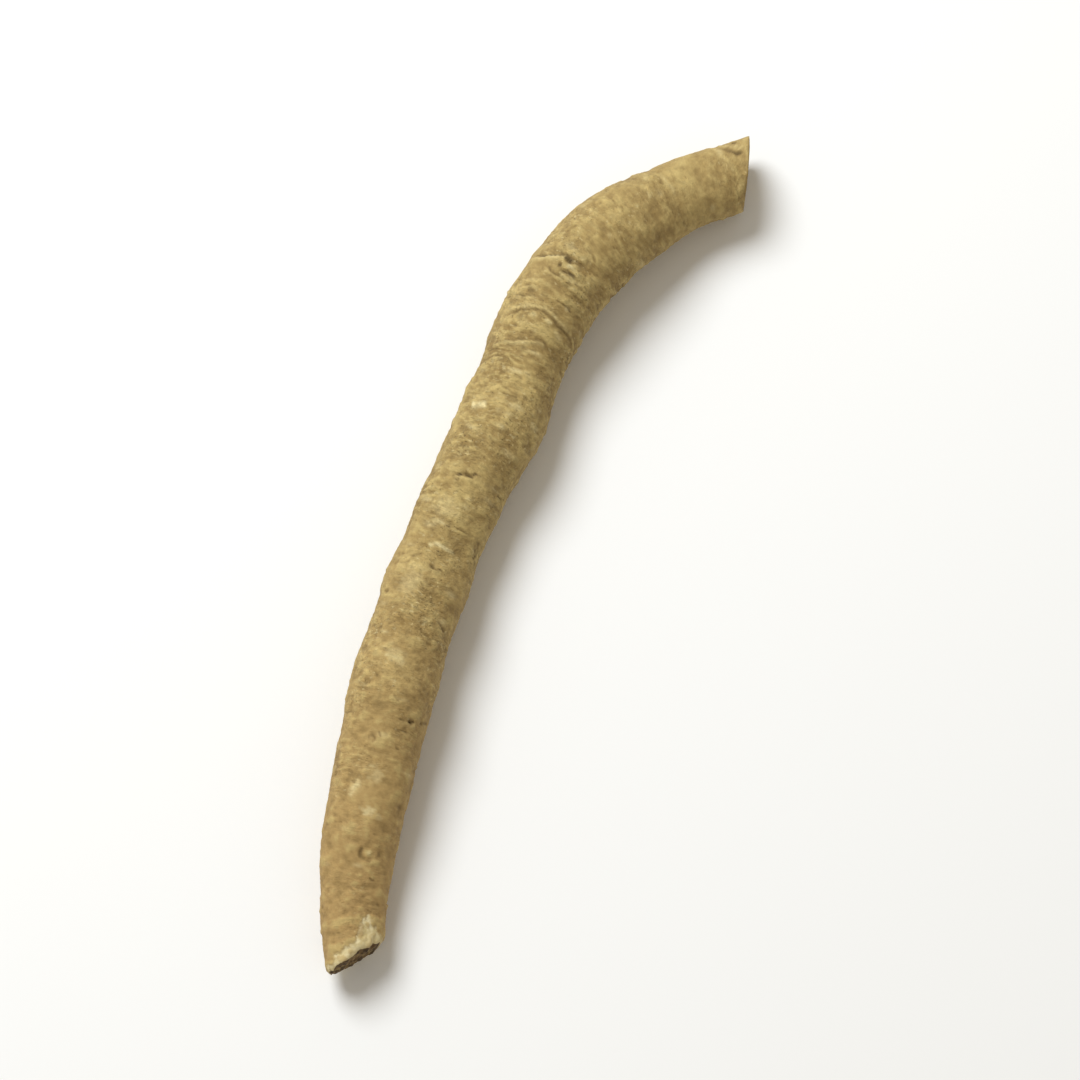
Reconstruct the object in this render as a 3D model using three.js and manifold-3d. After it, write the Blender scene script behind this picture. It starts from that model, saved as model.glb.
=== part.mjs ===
// One dried ashwagandha root, lying on its side. Millimetres, +Z up, resting on the plane Z = 0.
// It runs from its thin, snapped tip near -Y, past a bend, to its cut crown at +X +Y. It is all one body.

import * as THREE from "three";
import { mergeVertices } from "three/addons/utils/BufferGeometryUtils.js";
import Module from "manifold-3d";

const wasm = await Module();
wasm.setup();

// Driving dimensions. A station is a distance along the root from the start of its route.

// The middle of the root seen from above, from the tip to the crown, as [x, y].
const ROUTE = [
  [-23.8, -57.3],
  [-23.7, -43.8],
  [-21.3, -30.6],
  [-18.7, -18.5],
  [-15.0, -6.4],
  [-10.4, 5.4],
  [-4.7, 17.0],
  [0.0, 29.2],
  [7.3, 39.9],
  [17.8, 47.6],
  [29.9, 52.3],
];

// The root's width along it, as [station, width]: it swells at its knots and thins to both ends.
const GIRTH = [
  [0, 7.0],
  [8, 8.3],
  [14, 9.0],
  [20, 9.9],
  [31, 10.6],
  [39, 11.3],
  [45, 10.8],
  [52, 11.2],
  [59, 10.5],
  [66, 10.9],
  [77, 11.7],
  [84, 11.0],
  [91, 11.5],
  [104, 12.1],
  [111, 11.2],
  [117, 10.0],
  [124, 9.5],
  [131, 9.4],
];

// How far the underside stands off the floor, as [station, height].
// It touches near the tip, at the bend and near the crown.
const LIFT = [
  [0, 0.7],
  [9, 0],
  [42, 1.5],
  [78, 0],
  [103, 1.1],
  [123, 0],
  [131, 0.3],
];

// Knots and old rootlet scars. angle goes round in degrees: 0 on the side that faces +X and 90 on top.
const KNOTS = [
  { station: 97.5, angle: 112, height: 0.55, length: 3.2, spread: 26 },
  { station: 88.5, angle: 205, height: 0.35, length: 4.5, spread: 50 },
  { station: 80.0, angle: 165, height: 0.4, length: 3.0, spread: 34 },
  { station: 61.0, angle: 20, height: 0.35, length: 2.4, spread: 24 },
  { station: 47.0, angle: 250, height: 0.45, length: 3.5, spread: 32 },
  { station: 36.5, angle: 62, height: 0.3, length: 2.2, spread: 24 },
  { station: 18.5, angle: 72, height: 0.4, length: 1.8, spread: 22 },
  { station: 112.0, angle: 300, height: 0.4, length: 3.0, spread: 30 },
];

// The root's own irregularity, as shares of its radius. twist is in radians for each millimetre along it.
const OVAL = { share: 0.022, twist: 0.045 };
const LOBES = { share: 0.016, twist: -0.11, start: 1.3 };
const SWELLS = { share: 0.014, twist: 0.52, lean: 1.7 };

const TIP_STATION = 2.5;
const TIP_SLANT = Math.tan(THREE.MathUtils.degToRad(27));
const CROWN_STATION = 127.7;
const CROWN_SLANT = -Math.tan(THREE.MathUtils.degToRad(24));
const SLANT_REACH = 14; // over this length the rings turn from square to the end's slant
const WORN = 0.16; // depth of the small flats where the root lies on the floor

// The snapped end face is uneven: two hollows and two rises, which turn towards the middle of the face.
const SNAP = { height: 0.35, turn: 5, fade: 0.5 };

const RING_STEP = 1.5;
const RING_POINTS = 30;
const END_SHARES = [0.92, 0.62, 0.3]; // rings inside each end face, as shares of its radius
const ROUTE_DIVISIONS = 600;
const SAME_POINT = 1e-4; // points nearer than this are joined
const FLOOR = { width: 100, length: 200, depth: 10 };

// A smooth curve through a table of [position, value], with a Hermite span between each two rows.
function smoothTable(table, position) {
  const last = table.length - 1;
  const at = THREE.MathUtils.clamp(position, table[0][0], table[last][0]);
  let i = 0;
  while (i < last - 1 && table[i + 1][0] < at) {
    i += 1;
  }
  const slope = (k) => {
    const a = table[Math.max(k - 1, 0)];
    const b = table[Math.min(k + 1, last)];
    return (b[1] - a[1]) / (b[0] - a[0]);
  };
  const [x0, y0] = table[i];
  const [x1, y1] = table[i + 1];
  const span = x1 - x0;
  const t = (at - x0) / span;
  const rise = t * t * (3 - 2 * t);
  const leave = t * (1 - t) * (1 - t) * slope(i);
  const arrive = t * t * (t - 1) * slope(i + 1);
  return y0 + (y1 - y0) * rise + span * (leave + arrive);
}

const route = new THREE.CatmullRomCurve3(
  ROUTE.map(([x, y]) => new THREE.Vector3(x, y, 0)),
);
route.arcLengthDivisions = ROUTE_DIVISIONS;
const routeLength = route.getLength();

// A slightly oval section with three gentle lobes, which turn slowly along the root, and slanting swells.
function irregularity(station, angle) {
  const oval = OVAL.share * Math.cos(2 * angle + station * OVAL.twist);
  const lobes = LOBES.share * Math.sin(3 * angle + station * LOBES.twist + LOBES.start);
  const swells = SWELLS.share * Math.sin(station * SWELLS.twist + SWELLS.lean * Math.sin(angle));
  return oval + lobes + swells;
}

function knotHeight(station, angle) {
  return KNOTS.reduce((sum, knot) => {
    const along = (station - knot.station) / knot.length;
    const off = angle - THREE.MathUtils.degToRad(knot.angle);
    const turn = Math.atan2(Math.sin(off), Math.cos(off));
    const round = turn / THREE.MathUtils.degToRad(knot.spread);
    return sum + knot.height * Math.exp(-along * along - round * round);
  }, 0);
}

function radiusAt(station, angle) {
  const half = smoothTable(GIRTH, station) / 2;
  return half * (1 + irregularity(station, angle)) + knotHeight(station, angle);
}

// The point at a share of the radius, 1 being the bark.
function pointAt(station, angle, share) {
  const along = THREE.MathUtils.clamp(station / routeLength, 0, 1);
  const centre = route.getPointAt(along);
  const tangent = route.getTangentAt(along);
  const up = new THREE.Vector3(0, 0, 1);
  const side = new THREE.Vector3().crossVectors(tangent, up).normalize();
  centre.z = smoothTable(GIRTH, station) / 2 + smoothTable(LIFT, station) - WORN;
  const reach = share * radiusAt(station, angle);
  return centre
    .addScaledVector(side, reach * Math.cos(angle))
    .addScaledVector(up, reach * Math.sin(angle));
}

// How far the end's slant moves a point along the root.
function slantShift(station, angle, share) {
  const near = (from, to) => 1 - THREE.MathUtils.smoothstep(Math.abs(from - to), 0, SLANT_REACH);
  const across = share * radiusAt(station, angle) * Math.cos(angle);
  const tip = TIP_SLANT * near(station, TIP_STATION);
  const crown = CROWN_SLANT * near(station, CROWN_STATION);
  return across * (tip + crown);
}

// Rings from the middle of the tip's face, along the bark and in to the middle of the crown's face.
function ringList() {
  const steps = Math.round((CROWN_STATION - TIP_STATION) / RING_STEP);
  const inward = END_SHARES.map((share) => ({ station: CROWN_STATION, share, end: "crown" }));
  const outward = END_SHARES.map((share) => ({ station: TIP_STATION, share, end: "tip" })).reverse();
  const bark = Array.from({ length: steps + 1 }, (_, i) => ({
    station: THREE.MathUtils.lerp(TIP_STATION, CROWN_STATION, i / steps),
    share: 1,
    end: "bark",
  }));
  return [...outward, ...bark, ...inward];
}

// The snapped tip is uneven, and the crown's cut is flat.
function endRelief(end, angle, share) {
  if (end !== "tip") {
    return 0;
  }
  return SNAP.height * Math.sin(2 * angle + SNAP.turn * share) * (1 - SNAP.fade * share);
}

function rootGeometry() {
  const rings = ringList();
  const positions = [];
  const add = (point) => {
    positions.push(point.x, point.y, point.z);
    return positions.length / 3 - 1;
  };
  const ringVertex = rings.map(({ station, share, end }) =>
    Array.from({ length: RING_POINTS }, (_, k) => {
      const angle = (2 * Math.PI * k) / RING_POINTS;
      const moved = station + slantShift(station, angle, share) + endRelief(end, angle, share);
      return add(pointAt(moved, angle, share));
    }),
  );
  const tipMiddle = add(pointAt(TIP_STATION, 0, 0));
  const crownMiddle = add(pointAt(CROWN_STATION, 0, 0));

  const index = [];
  const next = (k) => (k + 1) % RING_POINTS;
  for (let k = 0; k < RING_POINTS; k += 1) {
    index.push(tipMiddle, ringVertex[0][k], ringVertex[0][next(k)]);
    index.push(crownMiddle, ringVertex.at(-1)[next(k)], ringVertex.at(-1)[k]);
  }
  for (let i = 0; i < rings.length - 1; i += 1) {
    const [near, far] = [ringVertex[i], ringVertex[i + 1]];
    for (let k = 0; k < RING_POINTS; k += 1) {
      index.push(near[k], far[k], near[next(k)]);
      index.push(near[next(k)], far[k], far[next(k)]);
    }
  }
  const geometry = new THREE.BufferGeometry();
  geometry.setAttribute("position", new THREE.Float32BufferAttribute(positions, 3));
  geometry.setIndex(index);
  return geometry;
}

function solidOf(geometry) {
  const bare = geometry.clone();
  bare.deleteAttribute("normal");
  bare.deleteAttribute("uv");
  const merged = mergeVertices(bare, SAME_POINT);
  return new wasm.Manifold(
    new wasm.Mesh({
      numProp: 3,
      vertProperties: new Float32Array(merged.attributes.position.array),
      triVerts: new Uint32Array(merged.index.array),
    }),
  );
}

function geometryOf(solid) {
  const mesh = solid.getMesh();
  const geometry = new THREE.BufferGeometry();
  geometry.setAttribute("position", new THREE.BufferAttribute(mesh.vertProperties, 3));
  geometry.setIndex(new THREE.BufferAttribute(mesh.triVerts, 1));
  geometry.computeVertexNormals();
  return geometry;
}

// The root with its lowest places worn flat at Z = 0, where it lies on the floor.
function restingRoot() {
  const floor = new THREE.BoxGeometry(FLOOR.width, FLOOR.length, FLOOR.depth);
  floor.translate(0, 0, -FLOOR.depth / 2);
  return geometryOf(solidOf(rootGeometry()).subtract(solidOf(floor)));
}

const bark = new THREE.MeshStandardMaterial({ color: 0xab9162, roughness: 0.92, metalness: 0 });

const root = new THREE.Mesh(restingRoot(), bark);
root.name = "ashwagandha_root";

const part = new THREE.Group();
part.add(root);

export default part;
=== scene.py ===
# A dried ashwagandha root lying on a pale studio floor. Run it in Blender 4.5.
import math
import time

import bpy
import numpy as np
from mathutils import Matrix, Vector, noise
from mathutils.bvhtree import BVHTree


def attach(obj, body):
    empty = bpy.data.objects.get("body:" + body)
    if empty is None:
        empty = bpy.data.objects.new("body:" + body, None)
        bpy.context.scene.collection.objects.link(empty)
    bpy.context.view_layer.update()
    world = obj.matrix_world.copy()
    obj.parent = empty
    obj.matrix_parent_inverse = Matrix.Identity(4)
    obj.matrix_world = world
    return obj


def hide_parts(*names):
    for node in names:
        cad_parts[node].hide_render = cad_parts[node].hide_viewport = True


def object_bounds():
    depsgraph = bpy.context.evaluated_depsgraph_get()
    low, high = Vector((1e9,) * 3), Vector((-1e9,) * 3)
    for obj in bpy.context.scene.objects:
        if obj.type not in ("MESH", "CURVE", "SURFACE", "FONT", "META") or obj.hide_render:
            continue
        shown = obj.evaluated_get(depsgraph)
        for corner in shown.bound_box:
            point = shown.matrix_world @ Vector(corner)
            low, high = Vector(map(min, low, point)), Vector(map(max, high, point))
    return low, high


started = time.perf_counter()
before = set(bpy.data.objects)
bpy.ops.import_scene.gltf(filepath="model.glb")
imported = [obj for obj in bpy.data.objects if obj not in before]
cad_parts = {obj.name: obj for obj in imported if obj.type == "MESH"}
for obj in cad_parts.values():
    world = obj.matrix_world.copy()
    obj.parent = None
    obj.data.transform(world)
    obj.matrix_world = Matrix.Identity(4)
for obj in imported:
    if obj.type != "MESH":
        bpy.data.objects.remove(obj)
cadLow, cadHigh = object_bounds()
mm = 0.001  # the scene is in metres, and the root's own sizes are in millimetres

# Places on the root are (station, angle): the station is millimetres along it from the tip, and the angle
# goes round it in degrees, from the side that faces +X, over the top at 90, to the far side at 180.
root = {
    "cadNode": "ashwagandha_root",
    # The middle of the root seen from above, from its tip to its crown.
    "route": [
        (-23.8, -57.3), (-23.7, -43.8), (-21.3, -30.6), (-18.7, -18.5), (-15.0, -6.4), (-10.4, 5.4),
        (-4.7, 17.0), (0.0, 29.2), (7.3, 39.9), (17.8, 47.6), (29.9, 52.3),
    ],
    "tipStation": 2.5,
    "tipSlant": 27,  # degrees from square
    "crownStation": 127.7,
    "crownSlant": -24,
    "slantReach": 14,
    "rings": 570,
    "pointsRound": 160,
    "endRings": 18,
    "tipWear": 0.4,  # how far the rim of each end is rounded off
    "tipRounding": 0.24,  # how far the rim is drawn in along the root
    "crownWear": 0.12,
    "tipRagged": 0.4,  # how far the snapped rim wanders along the root
    "snapDepth": 0.5,  # how rough the snapped face is
    "flakeDepth": 0.15,  # how much lower the wood is where the bark flaked off
    "fibreHeight": 0.09,  # how far that wood's fibres stand up
    # how far from an end each of these fades out
    "tipWearReach": 0.45,
    "crownWearReach": 0.25,
    "raggedReach": 1.2,
    "roundingReach": 0.5,
}

# The relief that covers the whole root. size is the length of one swell round and along the root.
swells = {
    "lumps": {"size": (6.5, 7.5), "height": 0.21, "octaves": 2},
    "dimples": {"size": (2.6, 2.0), "height": 0.12, "octaves": 3},
    "furrows": {"size": (1.5, 8), "height": 0.022, "octaves": 2},
    "grit": {"size": (0.85, 0.7), "height": 0.046, "octaves": 3},
}
wrinkles = {
    "broad rings": {"size": (5.0, 1.5), "height": 0.065, "octaves": 2},
    "fine rings": {"size": (2.6, 0.62), "height": 0.038, "octaves": 2},
}
bend = {"station": 89, "reach": 13, "gathering": 0.7}  # wrinkles stand higher there, by this share
wanderReach = 0.9  # how far a wrinkle strays along the root

# Creases where the root bent and shrank as it dried. fold is a raised lip, on the tip's side of the crease
# unless lip says the crown's side. Each crease gets painted shade, as dark as its depth says unless a
# darkness is given.
creases = [
    # the knee: its deep fold, the rings above it and the shorter folds below
    {"through": [(88.9, 145), (89.5, 138), (90.1, 126), (90.7, 111), (91.2, 90), (91.1, 76), (90.6, 62),
                 (90.4, 48), (90.0, 31), (88.9, 14)],
     "depth": 0.16, "width": 0.19, "fold": 0.11, "lip": "crown"},
    {"through": [(92.0, 146), (92.4, 124), (92.8, 105)], "depth": 0.1, "width": 0.17, "fold": 0.07},
    {"through": [(90.6, 150), (91.1, 125), (91.5, 110)], "depth": 0.06, "width": 0.15, "fold": 0.03},
    {"through": [(93.3, 148), (93.8, 127), (94.1, 108)], "depth": 0.07, "width": 0.17, "fold": 0.06},
    {"through": [(94.6, 140), (95.0, 122), (95.2, 106)], "depth": 0.05, "width": 0.17, "fold": 0.04},
    {"through": [(86.1, 138), (86.5, 115), (86.9, 95), (87.4, 82), (87.5, 69), (86.8, 61)],
     "depth": 0.12, "width": 0.2, "fold": 0.11},
    {"through": [(84.9, 104), (85.5, 92), (86.0, 80), (86.1, 68)],
     "depth": 0.06, "width": 0.16, "fold": 0.04},
    {"through": [(83.9, 142), (84.3, 118), (84.2, 96)], "depth": 0.06, "width": 0.17, "fold": 0.03},
    # round the eye that an old rootlet left above the knee
    {"through": [(97.6, 152), (97.8, 140), (98.2, 117), (99.1, 103), (99.3, 96)],
     "depth": 0.16, "width": 0.18, "fold": 0.13, "shadeAndDirt": 0.55},
    {"through": [(98.9, 89), (99.1, 79), (99.0, 73)], "depth": 0.13, "width": 0.18, "fold": 0.06},
    {"through": [(96.8, 98), (97.2, 90), (97.2, 82), (97.4, 74)],
     "depth": 0.26, "width": 0.2, "fold": 0.08, "shadeAndDirt": 0.85},
    {"through": [(97.5, 103), (97.8, 98)], "depth": 0.24, "width": 0.28, "fold": 0.0, "shadeAndDirt": 0.8},
    {"through": [(100.4, 101), (101.2, 85), (100.9, 69), (99.6, 65)],
     "depth": 0.08, "width": 0.18, "fold": 0.04},
    # a split near the middle of the root
    {"through": [(66.5, 109), (66.7, 100), (66.9, 92), (66.9, 87), (66.9, 80)],
     "depth": 0.26, "width": 0.17, "fold": 0.06, "shadeAndDirt": 1.0},
    {"through": [(66.9, 92), (67.5, 96)], "depth": 0.16, "width": 0.14, "fold": 0.0, "shadeAndDirt": 0.8},
    {"through": [(67.1, 87), (67.8, 77)], "depth": 0.16, "width": 0.14, "fold": 0.0, "shadeAndDirt": 0.8},
    {"through": [(65.9, 108), (66.0, 100), (66.2, 97)],
     "depth": 0.12, "width": 0.13, "fold": 0.0, "shadeAndDirt": 0.5},
    # smaller ones, towards the tip
    {"through": [(59.6, 34), (59.5, 26), (58.6, 21), (57.6, 23), (57.2, 30)],
     "depth": 0.13, "width": 0.19, "fold": 0.04, "shadeAndDirt": 0.45},
    {"through": [(53.9, 89), (53.5, 82), (53.8, 74), (53.5, 65)],
     "depth": 0.12, "width": 0.15, "fold": 0.04, "shadeAndDirt": 0.6},
    {"through": [(47.2, 48), (46.8, 38), (46.3, 29)],
     "depth": 0.13, "width": 0.17, "fold": 0.05, "shadeAndDirt": 0.5},
    {"through": [(38.9, 121), (38.5, 114), (38.0, 108)], "depth": 0.07, "width": 0.12, "fold": 0.0},
    {"through": [(33.6, 54), (33.3, 47), (33.6, 41)],
     "depth": 0.18, "width": 0.18, "fold": 0.06, "shadeAndDirt": 0.95},
    {"through": [(30.7, 102), (30.2, 95), (29.6, 98)],
     "depth": 0.1, "width": 0.15, "fold": 0.05, "shadeAndDirt": 0.35},
    {"through": [(31.2, 91), (30.5, 86)], "depth": 0.1, "width": 0.15, "fold": 0.05, "shadeAndDirt": 0.35},
    {"through": [(28.3, 113), (27.8, 105)], "depth": 0.09, "width": 0.15, "fold": 0.05, "shadeAndDirt": 0.3},
    {"through": [(36.1, 84), (35.6, 76), (35.9, 70)],
     "depth": 0.08, "width": 0.14, "fold": 0.04, "shadeAndDirt": 0.3},
    {"through": [(29.8, 66), (29.6, 58)], "depth": 0.12, "width": 0.15, "fold": 0.0, "shadeAndDirt": 0.5},
    {"through": [(14.9, 73), (15.4, 80), (16.0, 82), (16.6, 78)],
     "depth": 0.18, "width": 0.26, "fold": 0.0, "shadeAndDirt": 0.5},
    {"through": [(11.4, 76), (11.7, 60), (11.9, 36)], "depth": 0.05, "width": 0.4, "fold": 0.0},
    # under the flap of bark at the crown, and small ones below it
    {"through": [(125.3, 140), (125.9, 124), (126.6, 115), (127.6, 111)],
     "depth": 0.2, "width": 0.34, "fold": 0.0, "shadeAndDirt": 0.7},
    {"through": [(126.8, 150), (127.4, 141)], "depth": 0.14, "width": 0.22, "fold": 0.0, "shadeAndDirt": 0.6},
    {"through": [(111.8, 75), (112.2, 62)], "depth": 0.05, "width": 0.2, "fold": 0.02},
    {"through": [(114.6, 74), (115.0, 60)], "depth": 0.05, "width": 0.2, "fold": 0.02},
]

# On the sides that lie hidden: short folds inside the bend, and cracks of the outer skin.
creases += [
    {"through": [(85.4, 26), (85.0, 8), (85.6, -15)], "depth": 0.09, "width": 0.18, "fold": 0.08},
    {"through": [(88.0, 2), (87.7, -18), (88.2, -38)], "depth": 0.11, "width": 0.19, "fold": 0.09},
    {"through": [(91.0, 8), (90.6, -12), (91.2, -40)], "depth": 0.12, "width": 0.2, "fold": 0.1},
    {"through": [(93.8, 14), (94.0, -4), (93.5, -28)], "depth": 0.1, "width": 0.19, "fold": 0.08},
    {"through": [(97.3, 6), (97.6, -14), (97.0, -36)], "depth": 0.08, "width": 0.17, "fold": 0.05},
    {"through": [(55.2, 205), (56.0, 222), (55.6, 246)], "depth": 0.1, "width": 0.18, "fold": 0.06},
    {"through": [(34.0, 262), (34.8, 285), (34.4, 310)], "depth": 0.1, "width": 0.18, "fold": 0.06},
    {"through": [(73.6, 188), (74.2, 170), (73.9, 155)], "depth": 0.09, "width": 0.18, "fold": 0.05},
    {"through": [(116.3, 330), (116.9, 350), (116.5, 370)], "depth": 0.09, "width": 0.18, "fold": 0.05},
    {"through": [(105.5, 250), (106.4, 232), (106.2, 212)], "depth": 0.1, "width": 0.18, "fold": 0.06},
]

# Low ridges, where the skin is stretched or rubbed pale. pale is how far the outer skin is gone.
ridges = [
    {"through": [(97.4, 133), (98.0, 117), (98.6, 102)], "height": 0.05, "width": 0.22, "pale": 0.4},
    {"through": [(96.4, 95), (96.5, 79), (96.9, 59)], "height": 0.08, "width": 0.18, "pale": 0.3},
    {"through": [(76.1, 135), (76.4, 123), (76.9, 110)], "height": 0.06, "width": 0.42, "pale": 1.3},
    {"through": [(56.3, 101), (56.9, 91), (56.8, 79), (56.7, 58)],
     "height": 0.13, "width": 0.22, "pale": 1.3},
    {"through": [(40.6, 104), (40.8, 90), (39.9, 77)], "height": 0.07, "width": 0.45, "pale": 0.5},
    {"through": [(22.5, 118), (23.6, 110), (24.8, 102)], "height": 0.07, "width": 0.5, "pale": 0.7},
    {"through": [(26.6, 97), (26.8, 87), (26.9, 80)], "height": 0.03, "width": 0.2, "pale": 0.4},
    {"through": [(124.6, 154), (126.8, 131), (127.7, 117)], "height": 0.16, "width": 0.45, "pale": 0.15},
]

# Eyes that rootlets left on the hidden sides: a raised ring round a pit, which gets painted shade. size is
# the ring's radius, and the shape's widths are shares of it.
eyeShape = {"pitWidth": 0.45, "pitDepth": 0.26, "ringWidth": 0.4, "ringHeight": 0.16, "shadeAndDirt": 0.8}
eyes = [
    {"at": (112.0, 300), "size": 0.9},
    {"at": (104.0, 205), "size": 0.7},
    {"at": (80.0, 166), "size": 0.75},
    {"at": (70.5, 338), "size": 0.6},
    {"at": (47.0, 250), "size": 1.0},
    {"at": (29.5, 192), "size": 0.65},
    {"at": (22.0, 318), "size": 0.6},
]

# Round marks: small knocks and the worn remains of rootlets. height is negative for a pit.
marks = [
    {"at": (98.7, 92), "along": 0.5, "round": 0.42, "height": -0.4},
    {"at": (98.9, 97), "along": 0.34, "round": 0.4, "height": -0.24},
    {"at": (98.0, 87), "along": 0.36, "round": 0.7, "height": 0.34},
    {"at": (99.9, 81), "along": 0.55, "round": 0.6, "height": 0.2},
    {"at": (88.7, 88), "along": 1.3, "round": 2.8, "height": 0.2},
    {"at": (90.2, 98), "along": 0.4, "round": 0.55, "height": 0.13},
    {"at": (90.2, 77), "along": 0.4, "round": 0.6, "height": 0.13},
    {"at": (89.6, 60), "along": 0.4, "round": 0.45, "height": 0.1},
    {"at": (82.0, 112), "along": 0.5, "round": 0.6, "height": -0.08},
    {"at": (82.3, 90), "along": 0.5, "round": 1.4, "height": 0.08},
    {"at": (67.0, 91), "along": 0.3, "round": 0.5, "height": -0.26},
    {"at": (64.2, 74), "along": 0.3, "round": 0.5, "height": 0.07},
    {"at": (58.5, 27), "along": 0.5, "round": 0.3, "height": -0.16},
    {"at": (53.8, 86), "along": 0.32, "round": 0.36, "height": -0.24},
    {"at": (40.6, 70), "along": 0.25, "round": 0.25, "height": -0.08},
    {"at": (33.3, 48), "along": 0.28, "round": 0.42, "height": -0.28},
    {"at": (34.2, 45), "along": 0.35, "round": 0.8, "height": 0.09},
    {"at": (29.6, 61), "along": 0.2, "round": 0.25, "height": -0.1},
    {"at": (15.9, 69), "along": 0.42, "round": 0.42, "height": 0.22},
    {"at": (15.8, 51), "along": 0.5, "round": 0.5, "height": -0.12},
    {"at": (106.7, 83), "along": 0.22, "round": 0.22, "height": -0.07},
    {"at": (106.7, 76), "along": 0.22, "round": 0.22, "height": -0.07},
    {"at": (105.1, 77), "along": 0.4, "round": 0.4, "height": 0.09},
]

# Where the outer skin is rubbed pale. along and round are half sizes, and amount is how bare it is.
rubbed = [
    {"at": (77.9, 75), "along": 0.45, "round": 1.1, "amount": 0.35},
    {"at": (82.5, 92), "along": 0.4, "round": 1.5, "amount": 0.5},
    {"at": (90.3, 98), "along": 0.35, "round": 0.5, "amount": 0.45},
    {"at": (90.3, 77), "along": 0.35, "round": 0.5, "amount": 0.45},
    {"at": (89.6, 60), "along": 0.35, "round": 0.4, "amount": 0.35},
    {"at": (99.8, 81), "along": 0.35, "round": 0.4, "amount": 0.35},
    {"at": (98.0, 87), "along": 0.32, "round": 0.65, "amount": 0.85},
    {"at": (64.2, 74), "along": 0.25, "round": 0.5, "amount": 0.4},
    {"at": (58.4, 33), "along": 0.5, "round": 0.25, "amount": 0.35},
    {"at": (62.0, 100), "along": 1.6, "round": 2.2, "amount": 0.25},
    {"at": (41.4, 96), "along": 1.0, "round": 1.6, "amount": 0.3},
    {"at": (51.0, 104), "along": 2.2, "round": 1.6, "amount": 0.3},
    {"at": (25.6, 84), "along": 1.0, "round": 1.1, "amount": 0.35},
    {"at": (21.1, 81), "along": 0.55, "round": 0.75, "amount": 0.75},
    {"at": (20.6, 66), "along": 0.5, "round": 0.5, "amount": 0.3},
    {"at": (15.9, 69), "along": 0.3, "round": 0.3, "amount": 0.55},
    {"at": (105.1, 77), "along": 0.3, "round": 0.3, "amount": 0.3},
]

# Where the bark flaked off round the snapped tip, as (angle, millimetres back from the rim).
flakedBack = [
    (0, 0.2), (20, 0.5), (32, 1.3), (45, 2.8), (58, 4.3), (70, 4.1), (80, 2.5), (90, 1.9), (104, 2.3),
    (118, 1.6), (135, 0.8), (152, 0.7), (180, 0.2), (230, 0.9), (262, 1.9), (290, 1.2), (330, 0.3),
    (360, 0.3),
]


def report(words):
    print(f"{time.perf_counter() - started:6.1f} s  {words}")


# A smooth line through the points, with this many steps in each span.
def smoothLine(points, steps):
    given = np.array(points, float)
    ends = np.vstack([2 * given[0] - given[1], given, 2 * given[-1] - given[-2]])
    t = np.linspace(0, 1, steps, endpoint=False)[:, None]
    spans = [
        b + 0.5 * t * (c - a + t * (2 * a - 5 * b + 4 * c - d + t * (3 * (b - c) + d - a)))
        for a, b, c, d in zip(ends, ends[1:], ends[2:], ends[3:])
    ]
    return np.vstack([*spans, given[-1:]])


def smoothStep(low, high, values):
    t = np.clip((values - low) / (high - low), 0, 1)
    return t * t * (3 - 2 * t)


# How far angles in degrees lie from a middle one, between -180 and 180.
def turnFrom(angles, middle):
    return (angles - middle + 180) % 360 - 180


# Evens out a grid whose rows run along the root and whose columns go round it.
def evenOut(grid, passesAlong, passesRound):
    out = grid.copy()
    for _ in range(passesAlong):
        padded = np.pad(out, ((1, 1), (0, 0)), mode="edge")
        out = 0.25 * padded[:-2] + 0.5 * out + 0.25 * padded[2:]
    for _ in range(passesRound):
        out = 0.25 * np.roll(out, 1, 1) + 0.5 * out + 0.25 * np.roll(out, -1, 1)
    return out


# Fractal noise at each place, from about -1 to 1. size is (round, along) in millimetres, and each seed reads
# the noise somewhere else.
def fractalAt(places, size, octaves, seed):
    seedStep, fadeOfOctaves, stepOfOctaves = 17.3, 1.0, 2.1
    scaled = places / np.array([size[0], size[0], size[1]]) + seed * seedStep
    flat = scaled.reshape(-1, 3).tolist()
    found = [noise.fractal(p, fadeOfOctaves, stepOfOctaves, octaves) for p in flat]
    return np.array(found).reshape(places.shape[:-1])


# The root's middle line, with the direction that it runs in.
line = smoothLine(root["route"], 60)
lineStations = np.concatenate([[0], np.cumsum(np.hypot(*np.diff(line, axis=0).T))])
lineRuns = np.gradient(line, lineStations, axis=0)
lineRuns /= np.linalg.norm(lineRuns, axis=1, keepdims=True)


def alongLine(values, stations):
    return np.interp(stations, lineStations, values)


# The CAD solid's own shape, felt by rays: its middle height along the line, and its radius all round.
cadTree = BVHTree.FromObject(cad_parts[root["cadNode"]], bpy.context.evaluated_depsgraph_get())


def rayLength(start, direction):
    hit = cadTree.ray_cast(Vector(start) * mm, Vector(direction))
    return hit[3] / mm if hit[0] else float("nan")


def middleHeights():
    clearHeight = 40  # above the root and below it
    rows = []
    for station, (x, y) in zip(lineStations, line):
        top = clearHeight - rayLength((x, y, clearHeight), (0, 0, -1))
        bottom = rayLength((x, y, -clearHeight), (0, 0, 1)) - clearHeight
        rows.append((station, (top + bottom) / 2))
    felt = np.array([row for row in rows if not math.isnan(row[1])])
    return np.interp(lineStations, felt[:, 0], felt[:, 1])


lineHeights = middleHeights()


# Points at the given stations, angles (in degrees) and radii.
def placeOnRoot(stations, angles, radii):
    x, y = alongLine(line[:, 0], stations), alongLine(line[:, 1], stations)
    runX, runY = alongLine(lineRuns[:, 0], stations), alongLine(lineRuns[:, 1], stations)
    past = stations - np.clip(stations, 0, lineStations[-1])  # the line runs straight on past its ends
    across, up = radii * np.cos(np.radians(angles)), radii * np.sin(np.radians(angles))
    z = alongLine(lineHeights, stations) + up
    return np.stack([x + runX * past + runY * across, y + runY * past - runX * across, z], axis=-1)


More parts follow.
